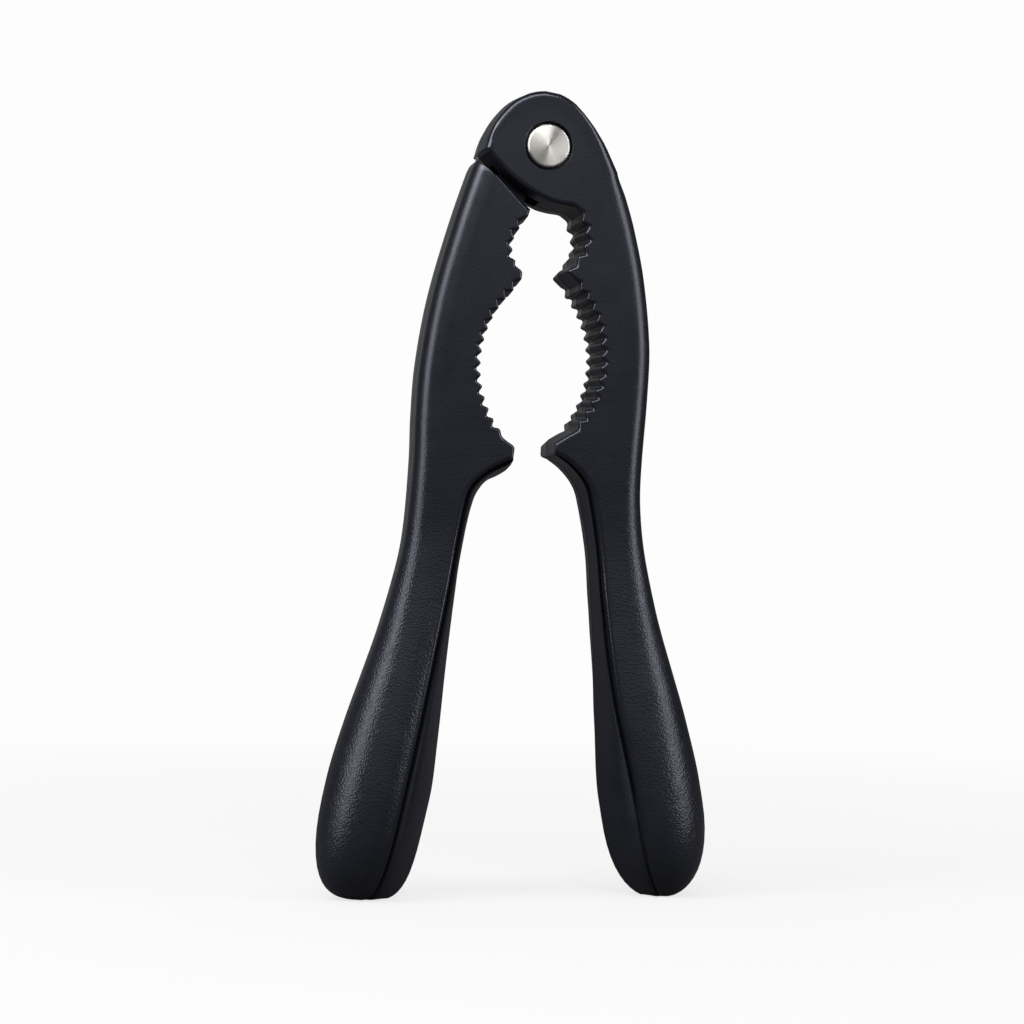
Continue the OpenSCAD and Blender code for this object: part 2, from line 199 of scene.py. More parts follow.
# %% Teeth and plain walls
TOOTH_HEIGHT = 1.5  # before rounding, which takes about 0.25 off the tip and fills the root by as much
ROW_DEEPER = 0.25  # the row is set deeper by what rounding fills in
TOOTH_SHARE = 0.33  # the share of a flank that each rounding uses


def teeth(centre, root, pitch, first, count, across):
    """Points of a row of teeth; across gives the outer places of the row's first and last root."""
    centre = np.array(centre)
    step = math.degrees(pitch / (root - TOOTH_HEIGHT / 2))
    last = first + (count - 0.5) * step
    points = []
    for k in range(2 * count + 1):
        angle = first + (k - 1) * step / 2
        radius = root + ROW_DEEPER if k % 2 == 0 else root - TOOTH_HEIGHT + ROW_DEEPER
        out = np.array([math.sin(math.radians(angle)), math.cos(math.radians(angle))])
        q = mix(*across, (angle - first + step / 2) / (last - first + step / 2))
        points.append((*(centre + out * radius), *(-out), DRAFT, q, TOOTH_SHARE))
    return points


def walls(*points):
    """Plain corners: u, v, wall direction, outer place, and the share of each side that is rounded."""
    result = []
    for u, v, du, dv, q, soft in points:
        size = math.hypot(du, dv)
        result.append((u, v, du / size, dv / size, DRAFT * size, q, soft))
    return result


left_inner = (
    walls((16.0, 0.8, -0.6, -1, 7.6, 0.0), (17.5, 0.85, 0.2, -1, 9.0, 0.2),
          (19.4, 2.9, 0.5, -0.85, 11.0, 0.3))
    + teeth((24.0, -4.1), 8.1, 2.75, -26.5, 4, (10.5, 29.8))[1:-1]
    + walls((29.4, 1.35, -0.6, -0.8, 29.9, 0.3), (30.3, -0.8, -0.5, -1, 31.0, 0.3),
            (32.4, -1.05, 0.5, -1, 32.2, 0.2))
    + teeth((49.0, -20.7), 26.05, 2.75, -32.7, 14, (32.8, 75.0))[:-1]
    + walls((69.4, -5.0, -0.8, -0.6, 75.2, 0.4), (70.8, -8.65, -0.7, -1.1, 76.5, 0.25),
            (73.8, -8.9, 0.9, -1.9, 78.0, 0.15))
)
right_inner = (
    walls((-0.2, -14.2, 0.6, -0.9, -40.5, 0.0), (1.2, -13.4, 0.7, -0.7, -37, 0.3),
          (5.0, -10.8, 0.6, -0.8, -33, 0.3), (8.5, -7.6, 0.7, -0.7, -27, 0.3),
          (10.9, -4.7, 0.8, -0.6, -21, 0.3), (13.0, -1.5, 0.9, -0.3, -12, 0.3),
          (14.0, 1.0, 1, -0.2, -4, 0.3), (14.8, 3.9, 0.9, -0.5, 4, 0.25))
    + teeth((21.0, -2.1), 8.7, 3.0, -17, 4, (10, 29.6))
    + walls((29.6, -0.4, -0.5, -1, 30.8, 0.3), (32.3, 1.6, 0.4, -0.9, 32.2, 0.25))
    + teeth((46.7, -19.75), 26.0, 2.78, -28.4, 13, (32.7, 72.4))
    + walls((67.8, -5.7, -1.1, -0.7, 73.2, 0.3), (69.3, -9.45, -1.3, -0.35, 74.8, 0.2),
            (71.85, -9.85, 1.2, -0.3, 76.2, 0.12))
)
print("sharp corners:", len(left_inner), "on the left lever,", len(right_inner), "on the right")


# %% [markdown]
# A sharp corner never leaves a sand or die mould. Every corner of the inner side is replaced by a
# short curve that starts and ends part of the way along its two sides, all values blended alike.

# %% Round the corners of the inner side
FILLET, PANEL_FILLET = 0.9, 1.0  # at the edges of the inner side, and along the handle's panel
FACE_SHARE, MIDDLE_SHARE = 0.45, 1.25  # rounding at the face and at the parting line, against the edge's


def place(u, v, du, dv, bulge, q, fillet, soft=0.0):
    """One place of the inner side: edge, middle, face line and outer place, with its rounding."""
    return np.array([u, v, u + du * bulge, v + dv * bulge, u - du * fillet, v - dv * fillet, q, soft])


def rounded(points, then):
    """The corners rounded, up to the place that comes next."""
    points = [place(*p[:6], FILLET, p[6]) for p in points] + [then]
    shares = np.array([1, 1, MIDDLE_SHARE, MIDDLE_SHARE, FACE_SHARE, FACE_SHARE, 1, 0])
    result = [points[0]]
    for before, corner, after in zip(points, points[1:], points[2:]):
        soft = corner[7] * shares
        start, end = corner + (before - corner) * soft, corner + (after - corner) * soft
        for t in (0, 0.25, 0.5, 0.75, 1):
            result.append((1 - t) ** 2 * start + 2 * t * (1 - t) * corner + t * t * end)
    return result


NEAR_STEP, NEXT_STEP, FAR_STEP = 0.5, 1.0, 1.8  # between sections, near the nose and further down
CATCH_UP = 18  # over this length the outer places come level with the crease's


def below_nose(lever, u_from, q_from):
    """Points of the crease, from the lower nose to the start of the handle's end."""
    ahead = q_from - u_from
    result = []
    u = u_from
    while u < lever["reach"] - lever["dome"] - 0.01:
        e = crease_at(lever, u)
        rise = (crease_at(lever, u + 0.05) - crease_at(lever, u - 0.05)) / 0.1
        size = math.hypot(rise, 1)
        q = u + ahead * (1 - clamp((u - u_from) / CATCH_UP)) ** 2
        result.append(place(u, e, rise / size, -1 / size, curve(lever["bulge"], u), q, PANEL_FILLET))
        u += NEAR_STEP if u < u_from + 8 else NEXT_STEP if u < u_from + 20 else FAR_STEP
    return result


left_below, right_below = below_nose(left, 74.3, 78.6), below_nose(right, 72.5, 76.9)
left_path = rounded(left_inner, left_below[0]) + left_below
right_path = rounded(right_inner, right_below[0]) + right_below
print("inner side:", len(left_path), "and", len(right_path), "places")


# %% [markdown]
# ## The outer side
# The left lever's outer line is a plain curve. The right lever's runs on over the round head and
# down its left flank, which is easiest to draw as a distance from the pivot at each angle.

# %% A place on the outer line
HEAD_START, HEAD_END = 8.0, -41.0  # places on the outer line where the head takes over, and where it ends
START_ANGLE, END_ANGLE = -115.3, 86.0  # the same two ends as angles about the pivot


def outer_point(lever, q):
    if lever["side"] < 0 or q >= HEAD_START:
        return np.array([q, curve(lever["outer"], q)])
    t = (HEAD_START - q) / (HEAD_START - HEAD_END)
    angle = mix(START_ANGLE, END_ANGLE, t)
    r = curve(head_outline, angle)
    return np.array([-r * math.cos(math.radians(angle)), -r * math.sin(math.radians(angle))])


def outer_inward(lever, q):
    a, b = outer_point(lever, q - 0.2), outer_point(lever, q + 0.2)
    along = (b - a) / np.linalg.norm(b - a)
    return np.array([along[1], -along[0]])


def past_head(q):
    """0 on the head, rising to 1 where the right jaw's long rounded edge begins."""
    return ease((q + 8) / 26)


print("top of the head:", outer_point(right, -20).round(2), "mm from the pivot")

# %% [markdown]
# ## One section, many times
# A section starts at the outer parting line, goes over the rounded edge, across the face, over the
# small fillet of the inner edge, through the groove beside the handle's panel, and down the drafted
# wall to the inner parting line. The back half mirrors it. The head's wall is drafted and has only a
# small fillet, so near the head the outer profile changes over to that.

# %% What a half section is made of
ARC = 8  # steps of the rounded outer edge
FACE_MARGIN, ACROSS_FACE = 0.25, (0.2, 0.4, 0.6, 0.8)  # the face's points: mm from its ends, and between
FILLET_ANGLES = (0, 18, 36, 54, 72, 90)
FILLET_FROM = 2 + ARC + 1 + len(ACROSS_FACE) + 2  # place in a half section where the fillet starts
GROOVE_FROM = FILLET_FROM + len(FILLET_ANGLES)
GROOVE_DEEP, GROOVE_WIDE = 0.8, 1.1
groove_line = ((0.06, 1.1), (0.3, 1.9), (0.62, 1.1))  # across and down, as shares of these two sizes
GROOVE_FADE, GROOVE_STOP = 18, 14  # it fades over this length, and stops this far above the end
PANEL_FROM, PANEL_OVER = 0.2, 1.8  # it starts this far below the nose, and grows over this length
PANEL_SHARE, PANEL_BELOW = 0.6, 0.2  # its first point: a share of the groove's depth, and mm more
PANEL_BELLY = 0.25  # how far a full handle's panel goes from flat sides towards a round section
panel_heights = [1, 0.93, 0.84, 0.72, 0.58, 0.42, 0.25, 0.1, 0.035, 0]
PARTING_DEPTH, PARTING_HALF = 0.22, 0.3  # the parting line's depth, and half its width
HEAD_ROUND, HEAD_CORNER = 1.25, 0.72  # the head's small edge rounding, and its inset at the blunt corner
CORNER_LENGTH = 3


def round_size(lever, u, full):
    """The radius of the outer edge: small at the jaws, and all the way over at the club."""
    knots = [(20, EDGE_ROUND), (75, EDGE_ROUND + 0.2), (100, EDGE_ROUND + 1.2), (130, 9.5),
             (lever["reach"] - 25, full)]
    return curve(knots, u)


def head_wall(i, h):
    """Height and inset of the head's plain drafted wall, whose edge has a small rounding."""
    straight = 3
    if i <= straight:
        y = mix(PARTING_HALF, h - HEAD_ROUND, i / straight)
        return y, DRAFT * y / h
    a = math.radians(90 * (i - straight) / (ARC - straight))
    y = h - HEAD_ROUND * (1 - math.sin(a))
    return y, DRAFT * y / h + HEAD_ROUND * (1 - math.cos(a))


print("outer edge's radius at the jaws, the neck and the club:",
      [round(round_size(left, u, HALF_CLUB), 1) for u in (40, 100, 157)], "mm")


# %% The section at one place
def section(lever, p):
    edge, middle, face, q = p[0:2], p[2:4], p[4:6], p[6]
    wall = (middle - edge) / np.linalg.norm(middle - edge)
    u = edge[0]
    outer = outer_point(lever, q)
    if lever["side"] < 0:
        span = edge - outer
        inward = span / -span[1]
    else:
        inward = outer_inward(lever, q)
    last_out, last_in = lever["outer"][-1][1], curve(lever["crease"], 200) - lever["bulge"][-1][1]
    h, he = curve(thickness, q), curve(crease_thickness, u)
    rv = round_size(lever, q, (last_out - last_in) / 2)
    ry = round_size(lever, q, HALF_CLUB)
    soft = past_head(q) if lever["side"] > 0 else 1.0
    corner = mix(HEAD_CORNER, 1, ease((q - HEAD_END) / CORNER_LENGTH)) if lever["side"] > 0 else 1.0
    half = []

    def outside(inset, y):
        half.append((*(outer + inward * inset), y))

    outside(PARTING_DEPTH, 0)
    outside(mix(0.02, 0, soft), PARTING_HALF)
    for i in range(ARC + 1):
        a = math.radians(90 * i / ARC)
        plain_y, plain_in = head_wall(i, h)
        inset = mix(plain_in * corner, rv * (1 - math.cos(a)), soft)
        outside(inset, mix(plain_y, h - ry * (1 - math.sin(a)), soft))
    panel = ease((u - lever["nose"] - PANEL_FROM) / PANEL_OVER)
    groove = GROOVE_DEEP * panel * ease((lever["reach"] - GROOVE_STOP - u) / GROOVE_FADE)
    fillet = mix(FILLET, PANEL_FILLET, panel)
    start, stop = np.array(half[-1][:2]), face
    width = np.linalg.norm(stop - start)
    for s in (FACE_MARGIN / width, *ACROSS_FACE, 1 - FACE_MARGIN / width):
        half.append((*mix(start, stop, s), h - (h - he) * s * s))
    for a in map(math.radians, FILLET_ANGLES):
        half.append((*mix(face, edge, math.sin(a)), he - fillet * (1 - math.cos(a))))
    foot = he - fillet
    wide = min(GROOVE_WIDE, 0.55 * np.linalg.norm(middle - edge)) * panel
    for out, down in groove_line:
        half.append((*(edge + wall * out * wide), foot - groove * down - 0.1 * out))
    begin = edge + wall * wide
    low = foot - groove * PANEL_SHARE - PANEL_BELOW
    full = ease((u - lever["full_from"]) / lever["full_over"])
    for n in panel_heights:
        s = mix(1 - n, math.sqrt(1 - n * n), PANEL_BELLY * full)
        point = mix(begin, middle, s)
        if n == 0:
            point = point - wall * PARTING_DEPTH
        rim = 0 < n < 0.05  # the point beside the parting line
        half.append((*point, PARTING_HALF if rim else low * n))
    return half


# %% [markdown]
# ## The handle's end
# The last full section is drawn in ring by ring, as a dome. Its steps get shorter towards the end,
# where the dome turns most, and each side has its own squareness.

# %% The rounded end, and all rings of a lever
DOME_ANGLES = (9, 18, 26, 34, 42, 49, 56, 62, 67.5, 72.5, 77, 81, 84.5, 87.5)
DEEP_SQUARE = 2.4  # squareness of the dome seen from the side; 2 is a circle


def dome(lever, last):
    """Rings of the rounded end: the last full section, drawn in like a dome."""
    mid = (lever["outer"][-1][1] + last[-1][1]) / 2
    rings = []
    for angle in DOME_ANGLES:
        t = math.sin(math.radians(angle))
        out = (1 - t ** lever["end_out"]) ** (1 / lever["end_out"])
        inn = (1 - t ** lever["end_in"]) ** (1 / lever["end_in"])
        u = lever["reach"] - lever["dome"] * (1 - t)
        deep = (1 - t ** DEEP_SQUARE) ** (1 / DEEP_SQUARE)
        ring = []
        for _, v, y in last:
            side = (v - mid) * (out if v > mid else inn)
            ring.append((u + lever["end_skew"] * side * t * t, mid + side, y * deep))
        rings.append(ring)
    return rings


def whole(half):
    """Both halves of a section as one closed ring."""
    return half + [(u, v, -y) for u, v, y in half[-2:0:-1]]


def lever_rings(lever, path):
    halves = [section(lever, p) for p in path]
    u_end = lever["reach"] - lever["dome"]
    last = [(u_end, v, y) for _, v, y in halves[-1]]
    return [whole(h) for h in halves + [last] + dome(lever, last)]


left_rings = lever_rings(left, left_path)
right_rings = lever_rings(right, right_path)
print("sections:", len(left_rings), "of", len(left_rings[0]), "points")


# %% [markdown]
# ## Closing the upper end
# The left lever ends in a slanted shoulder, a drafted wall like the others, so its last section is
# pushed out along the shoulder and drawn in a little to round its edge. The head ends in a blunt
# corner between its flank and its lower edge, which is rounded the same way.

# %% The left shoulder and the head's corner
SHOULDER = np.array([-0.867, -0.498])  # the way the shoulder's wall faces
SHOULDER_ROUND = ((0.3, 0.3), (0.1, 0.24), (0.02, 0.12), (0, 0))  # drawn in and pushed out, ring by ring
BLUNT_WAY = np.array([-0.25, -0.97])  # the way the head's corner faces
BLUNT_ROUND = ((0.3, 0.55), (0.62, 0.42), (0.86, 0.22))  # shrunk to a share, and pushed out


def shoulder_rings(ring):
    points = np.array(ring)
    depth = DRAFT * (1 - np.abs(points[:, 2]) / HALF_JAW)
    points[:, :2] += SHOULDER * depth[:, None]
    along = np.array([-SHOULDER[1], SHOULDER[0]])
    across = points[:, :2] @ along
    flat = np.stack([across, points[:, 2]], 1)
    before, after = np.roll(flat, 1, 0), np.roll(flat, -1, 0)
    tangent = after - before
    tangent /= np.linalg.norm(tangent, axis=1)[:, None]
    normal = np.stack([-tangent[:, 1], tangent[:, 0]], 1)
    if ((flat - flat.mean(0)) * normal).sum() > 0:
        normal = -normal
    rings = []
    for inset, push in SHOULDER_ROUND:
        p = points.copy()
        p[:, :2] += SHOULDER * push + np.outer(normal[:, 0] * inset, along)
        p[:, 2] += normal[:, 1] * inset
        rings.append([tuple(x) for x in p])
    return rings


def corner_rings(ring):
    points = np.array(ring)
    level = np.abs(points[:, 2]) / HALF_JAW
    count = len(points) // 2
    low = (points[0, :2] + points[count, :2]) / 2
    top = points[level > 0.97][:, :2].mean(0)  # the points on the two faces
    centre = low + (top - low) * level[:, None]
    rings = []
    for shrink, push in BLUNT_ROUND:
        p = points.copy()
        p[:, :2] = centre + (p[:, :2] - centre) * shrink + BLUNT_WAY * push
        p[:, 2] *= 1 - 0.012 * (1 - shrink)  # a hair thinner, which rounds the corner at the faces too
        rings.append([tuple(x) for x in p])
    return rings + [ring]


left_rings = shoulder_rings(left_rings[0]) + left_rings[1:]
right_rings = corner_rings(right_rings[0]) + right_rings[1:]
print("rings with their rounded upper ends:", len(left_rings), "and", len(right_rings))


# %% [markdown]
# ## From rings to a mesh
# Rings of equal length are joined by four-sided faces, which keeps the shading clean. The first ring
# is closed by two flat faces that meet on the parting line, and the last by a fan. Three values are
# kept on every point for the finish: where handling has rubbed an edge smooth, where the cast skin
# was left as it came from the mould, and where the groove beside the panel gets a painted shade, a
# darker and duller coat that stands in for the shadow in the groove.

# %% Build and stand the levers
def stand(lever, point):
    """A point u, v, y of a lever's own plane, in metres in the part's frame."""
    u, v, y = point
    cos, sin = math.cos(lever["lean"]), math.sin(lever["lean"])
    x = pivot.x + lever["side"] * (v * cos + u * sin)
    z = pivot.z + v * sin - u * cos
    return Vector((x, pivot.y + y, max(z, 0))) * MM


def mesh_object(name, mesh_data):
    mesh = bpy.data.meshes.new(name)
    mesh_data.to_mesh(mesh)
    mesh_data.free()
    piece = bpy.data.objects.new(name, mesh)
    bpy.context.scene.collection.objects.link(piece)
    return piece


rubbed_fillet = dict(enumerate((0.3, 0.9, 1.0, 1.0, 0.7, 0.3), FILLET_FROM))
# painted shade of the groove beside the panel: how much darker and duller each place of a half section is
# drawn
groove_shade_amounts = dict(enumerate((0.4, 1.0, 1.0, 0.8, 0.5), GROOVE_FROM - 1))
OUTER_EDGE = range(6, 12)  # places in a half section
FACE_FROM = 10


def skin(name, lever, rings, rubbed_rings):
    """rubbed_rings says how far handling has polished a ring: (at its outer edge, all over its face)."""
    build = bmesh.new()
    layers = build.verts.layers.float
    rubbed, as_cast, groove_shade = layers.new("rubbed"), layers.new("as_cast"), layers.new("groove_shade")
    rows = [[build.verts.new(stand(lever, p)) for p in ring] for ring in rings]
    count = len(rows[0])
    for row, (outer, every) in zip(rows, rubbed_rings + [(0, 0)] * len(rows)):
        for i, vert in enumerate(row):
            k = min(i, count - i)
            vert[as_cast] = 1.0 if k < FILLET_FROM else 0.0
            # the groove's painted shade
            vert[groove_shade] = groove_shade_amounts.get(k, 0.0)
            vert[rubbed] = max(rubbed_fillet.get(k, 0.0), outer if k in OUTER_EDGE else 0.0,
                               every if k >= FACE_FROM else 0.0)
    for one, two in zip(rows, rows[1:]):
        for i in range(count):
            j = (i + 1) % count
            build.faces.new((one[i], one[j], two[j], two[i]))
    half = count // 2
    build.faces.new(rows[0][:half + 1])
    build.faces.new(rows[0][half:] + rows[0][:1])
    tip = build.verts.new(sum((v.co for v in rows[-1]), Vector()) / count)
    for i in range(count):
        build.faces.new((rows[-1][i], rows[-1][(i + 1) % count], tip))
    bmesh.ops.recalc_face_normals(build, faces=build.faces)
    return mesh_object(name, build)


head_rubbed = [(1, 1)] * 2 + [(1, 0)] * 2 + [(1 - past_head(p[6]), 0) for p in right_path]
left_casting = skin("left_lever_casting", left, left_rings, [(1, 1)] * 4)
right_casting = skin("right_lever_casting", right, right_rings, head_rubbed)
for casting in (left_casting, right_casting):
    print(casting.name, len(casting.data.polygons), "faces")

# %% [markdown]
# ## Cutting the fork
# The pocket between the cheeks, the two seats and the bore are turned or milled shapes, so they are
# cut with turned tools: a profile spun about the pivot, with a small chamfer where it meets a face.

# %% Ways to make a cutting tool
def polar(angle, r):
    return (r * math.cos(math.radians(angle)), -r * math.sin(math.radians(angle)))


def spin(name, profile, steps=96):
    """A solid of revolution about the pivot, from points (radius, y) that start and end on the axis."""
    build = bmesh.new()
    verts = [build.verts.new((r * MM, (pivot.y + y) * MM, 0)) for r, y in profile]
    edges = [build.edges.new(pair) for pair in zip(verts, verts[1:])]
    bmesh.ops.spin(build, geom=verts + edges, cent=(0, 0, 0), axis=(0, 1, 0), angle=math.tau, steps=steps,
                   use_duplicate=False)
    bmesh.ops.remove_doubles(build, verts=build.verts, dist=1e-6)
    bmesh.ops.recalc_face_normals(build, faces=build.faces)
    piece = mesh_object(name, build)
    piece.data.transform(Matrix.Translation(Vector((pivot.x, 0, pivot.z)) * MM))
    return piece


def prism(name, lever, points, low, high):
    """A straight block whose outline is given as points u, v of a lever's plane."""
    build = bmesh.new()
    front = [build.verts.new(stand(lever, (u, v, low))) for u, v in points]
    back = [build.verts.new(stand(lever, (u, v, high))) for u, v in points]
    build.faces.new(front)
    build.faces.new(back)
    for i in range(len(points)):
        j = (i + 1) % len(points)
        build.faces.new((front[i], front[j], back[j], back[i]))
    bmesh.ops.recalc_face_normals(build, faces=build.faces)
    return mesh_object(name, build)


def cut(piece, tool):
    modifier = piece.modifiers.new("cut", "BOOLEAN")
    modifier.operation = "DIFFERENCE"
    modifier.solver = "EXACT"
    modifier.object = tool
    evaluated = piece.evaluated_get(bpy.context.evaluated_depsgraph_get())
    mesh = bpy.data.meshes.new_from_object(evaluated)
    piece.modifiers.clear()
    piece.data = mesh
    bpy.data.objects.remove(tool)


print("10 mm from the pivot at 60 degrees is", [round(x, 2) for x in polar(60, 10)])

# %% [markdown]
# The pocket is open towards the left lever, from 14.4 to 80 degrees, where the tongue comes in. The
# tools are cut out one after the other, as a mill and a drill would.

# %% The pocket, the bore and the seats
SLOT = 7.1
POCKET_R, BORE_R = 10.0, 3.55
MOUTH_FROM, MOUTH_TO = 14.4, 80
MOUTH_STEPS = 80
FRONT_SEAT_R, FRONT_SEAT_Y = 5.75, -6.8
REAR_SEAT_R, REAR_SEAT_Y = 5.3, 6.4
SEAT_CHAMFER = 0.15


def seat_tool(name, r, bottom, face, way):
    """A counterbore that is chamfered where it meets the face; way is -1 in front and 1 at the back."""
    return spin(name, [(0, bottom), (r, bottom), (r, face - way * SEAT_CHAMFER),
                       (r + SEAT_CHAMFER * 2, face + way * SEAT_CHAMFER), (0, face + way * SEAT_CHAMFER)])


front_tool = seat_tool("front_seat_tool", FRONT_SEAT_R, FRONT_SEAT_Y, -HALF_JAW, -1)
rear_tool = seat_tool("rear_seat_tool", REAR_SEAT_R, REAR_SEAT_Y, HALF_JAW, 1)
pocket_round = [polar(a, POCKET_R) for a in np.linspace(MOUTH_TO, 360 + MOUTH_FROM, MOUTH_STEPS)]
pocket_mouth = [polar(MOUTH_FROM, 20), polar(47, 24), polar(MOUTH_TO, 20)]
pocket_tool = prism("pocket_tool", right, pocket_round + pocket_mouth, -SLOT / 2, SLOT / 2)
bore_tool = spin("bore_tool", [(0, -10), (BORE_R, -10), (BORE_R, 10), (0, 10)])
for tool in (pocket_tool, bore_tool, front_tool, rear_tool):
    cut(right_casting, tool)
print("right casting after cutting:", len(right_casting.data.polygons), "faces")

# %% [markdown]
# ## The tongue
# The tongue is a milled disc that fills the pocket between the two washers. A flat root joins it to
# the left lever, and both have the bore that the barrel goes through.

# %% The tongue and its root
TONGUE, TONGUE_R, TONGUE_CHAMFER = 6.0, 9.5, 0.2
INSIDE = 1e-4  # the root is thinner than the disc by this, so that their faces don't lie in one plane
tongue = spin("left_lever_tongue", [
    (0, -TONGUE / 2), (TONGUE_R - TONGUE_CHAMFER, -TONGUE / 2), (TONGUE_R, -TONGUE / 2 + TONGUE_CHAMFER),
    (TONGUE_R, TONGUE / 2 - TONGUE_CHAMFER), (TONGUE_R - TONGUE_CHAMFER, TONGUE / 2), (0, TONGUE / 2)], 128)
root = prism("tongue_root", left, [(0, 0), (8.9, 1.2), (16.5, 2.2), (17, 4.5), (12, 12.5), (6.1, 6.6)],
             -TONGUE / 2 + INSIDE, TONGUE / 2 - INSIDE)
for piece in (tongue, root):
    cut(piece, spin("tongue_bore_tool", [(0, -5), (BORE_R, -5), (BORE_R, 5), (0, 5)]))
print("tongue and root:", len(tongue.data.polygons), len(root.data.polygons), "faces")

# %% [markdown]
# ## The pivot
# A sleeve barrel with a wide head fills the front seat, and a socket screw holds it from the back.
# Both were turned on a lathe, so both are drawn as half a profile and spun. The barrel's head is
# faced very slightly hollow and has a polished chamfer.

# %% Barrel and screw
DISC_R, DISC_FRONT, DISC_BACK = 5.05, -8.8, -6.8
DISC_HOLLOW = 0.18
SHANK_R, SHANK_END = 3.5, 6.2
SCREW_R, SCREW_HEAD_R, SCREW_TIP, SCREW_BACK = 2.0, 4.8, -1.6, 8.3
barrel = spin("pivot_barrel_turned", [
    (0, DISC_FRONT + DISC_HOLLOW), (4.62, DISC_FRONT), (4.74, DISC_FRONT + 0.03), (4.99, DISC_FRONT + 0.27),
    (DISC_R, DISC_FRONT + 0.42), (DISC_R, DISC_BACK - 0.15), (DISC_R - 0.15, DISC_BACK),
    (SHANK_R, DISC_BACK), (SHANK_R, SHANK_END - 0.2), (SHANK_R - 0.2, SHANK_END),
    (SCREW_R + 0.3, SHANK_END), (SCREW_R + 0.05, SHANK_END - 0.25), (SCREW_R + 0.05, -2.0), (0, -2.6)], 160)
screw = spin("pivot_screw_turned", [
    (0, SCREW_TIP), (SCREW_R - 0.3, SCREW_TIP), (SCREW_R, SCREW_TIP + 0.3), (SCREW_R, REAR_SEAT_Y),
    (SCREW_HEAD_R - 0.1, REAR_SEAT_Y), (SCREW_HEAD_R, REAR_SEAT_Y + 0.1), (SCREW_HEAD_R, SCREW_BACK - 0.4),
    (SCREW_HEAD_R - 0.12, SCREW_BACK - 0.15), (SCREW_HEAD_R - 0.4, SCREW_BACK), (0, SCREW_BACK)], 160)
print("barrel and screw:", len(barrel.data.polygons), len(screw.data.polygons), "faces")

# %% [markdown]
# The screw's head has a pressed hexagonal socket, with a small lead-in and a shallow cone at its
# bottom, as the punch leaves it.

# %% The hexagonal socket
SOCKET_FLATS, SOCKET_DEPTH = 3.0, 0.9


def socket_tool():
    build = bmesh.new()
    rim = SOCKET_FLATS / math.sqrt(3)
    rows = []
    for y, r in ((SCREW_BACK - SOCKET_DEPTH, rim), (SCREW_BACK - 0.2, rim), (SCREW_BACK + 0.2, rim + 0.35)):
        rows.append([build.verts.new(Vector((pivot.x + r * math.cos(math.radians(60 * k)), y,
                                             pivot.z + r * math.sin(math.radians(60 * k)))) * MM)
                     for k in range(6)])
    bottom = build.verts.new(Vector((pivot.x, SCREW_BACK - SOCKET_DEPTH - 0.3, pivot.z)) * MM)
    for one, two in zip(rows, rows[1:]):
        for k in range(6):
            build.faces.new((one[k], one[k - 1], two[k - 1], two[k]))
    for k in range(6):
        build.faces.new((rows[0][k], rows[0][k - 1], bottom))
    build.faces.new(rows[-1])
    bmesh.ops.recalc_face_normals(build, faces=build.faces)
    return mesh_object("socket_tool", build)


cut(screw, socket_tool())
print("screw with its socket:", len(screw.data.polygons), "faces")

# %% [markdown]
# ## The washers
# The two washers are flat discs on either side of the tongue, which only show in the gap of the fork.
# A press leaves their edges slightly rounded.

# %% Two pressed washers
WASHER_BORE, WASHER_R, WASHER_THICK = SHANK_R + 0.05, 7.5, 0.5
BORE_ROUND, RIM_ROUND = 0.06, 0.08
washers = []
for name, y in (("front_washer", -SLOT / 2), ("rear_washer", SLOT / 2 - WASHER_THICK)):
    top = y + WASHER_THICK
    washers.append(spin(name + "_pressed", [
        (WASHER_BORE, y + WASHER_THICK / 2), (WASHER_BORE, y + BORE_ROUND), (WASHER_BORE + BORE_ROUND, y),
        (WASHER_R - RIM_ROUND, y), (WASHER_R, y + RIM_ROUND), (WASHER_R, top - RIM_ROUND),
        (WASHER_R - RIM_ROUND, top), (WASHER_BORE + BORE_ROUND, top), (WASHER_BORE, top - BORE_ROUND),
        (WASHER_BORE, y + WASHER_THICK / 2)], 128))
print("washers:", [w.name for w in washers])

# %% [markdown]
# ## What moves with what
# The barrel, the screw and the washers stay with the fork; the tongue turns with the left lever.

# %% Ride on the frame
rides = [(left_casting, "tongue_side", "left_lever", "lever_coat"),
         (right_casting, "fork_side", "right_lever", "lever_coat"),
         (barrel, "fork_side", "pivot_barrel", "pivot_steel"),
         (screw, "fork_side", "pivot_screw", "pivot_steel"),
         (washers[0], "fork_side", "front_washer", "washer_steel"),
         (washers[1], "fork_side", "rear_washer", "washer_steel")]
for piece, body, node, slot in rides:
    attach(piece, body)
    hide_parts(node)
for piece in (tongue, root):
    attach(piece, "tongue_side")
print("riding:", [(piece.name, body) for piece, body, node, slot in rides])

# %% [markdown]
# Every face is shaded smooth, and only edges that turn by more than 35 degrees stay sharp, such as
# those that a cutter leaves.


# %% Smooth shading
def smooth(piece, angle=35):
    for face in piece.data.polygons:
        face.use_smooth = True
    piece.data.set_sharp_from_angle(angle=math.radians(angle))


pieces = [left_casting, right_casting, tongue, root, barrel, screw, *washers]
for piece in pieces:
    smooth(piece)
print("smoothed", len(pieces), "pieces")

# %% [markdown]
# ## Finishes
# Materials are built from nodes. One small function adds a node, sets it up and links it, so a
# material reads as a short list. Colours are written as the hex values a screen shows, and one
# function turns them to the linear values that Blender computes with.


# %% Helpers for materials
def linear(hex_colour):
    channels = [int(hex_colour[i:i + 2], 16) / 255 for i in (1, 3, 5)]
    return [c / 12.92 if c <= 0.04045 else ((c + 0.055) / 1.055) ** 2.4 for c in channels] + [1]


def add(tree, kind, links=(), values=(), **settings):
    """One node: its settings, its socket values, and the outputs that feed it, as (input, node, output)."""
    node = tree.nodes.new(kind)
    for key, value in settings.items():
        setattr(node, key, value)
    for key, value in values:
        node.inputs[key].default_value = value
    for socket, source, output in links:
        tree.links.new(source.outputs[output], node.inputs[socket])
    return node


def new_material(name):
    material = bpy.data.materials.new(name)
    material.use_nodes = True
    material.node_tree.nodes.clear()
    return material, material.node_tree


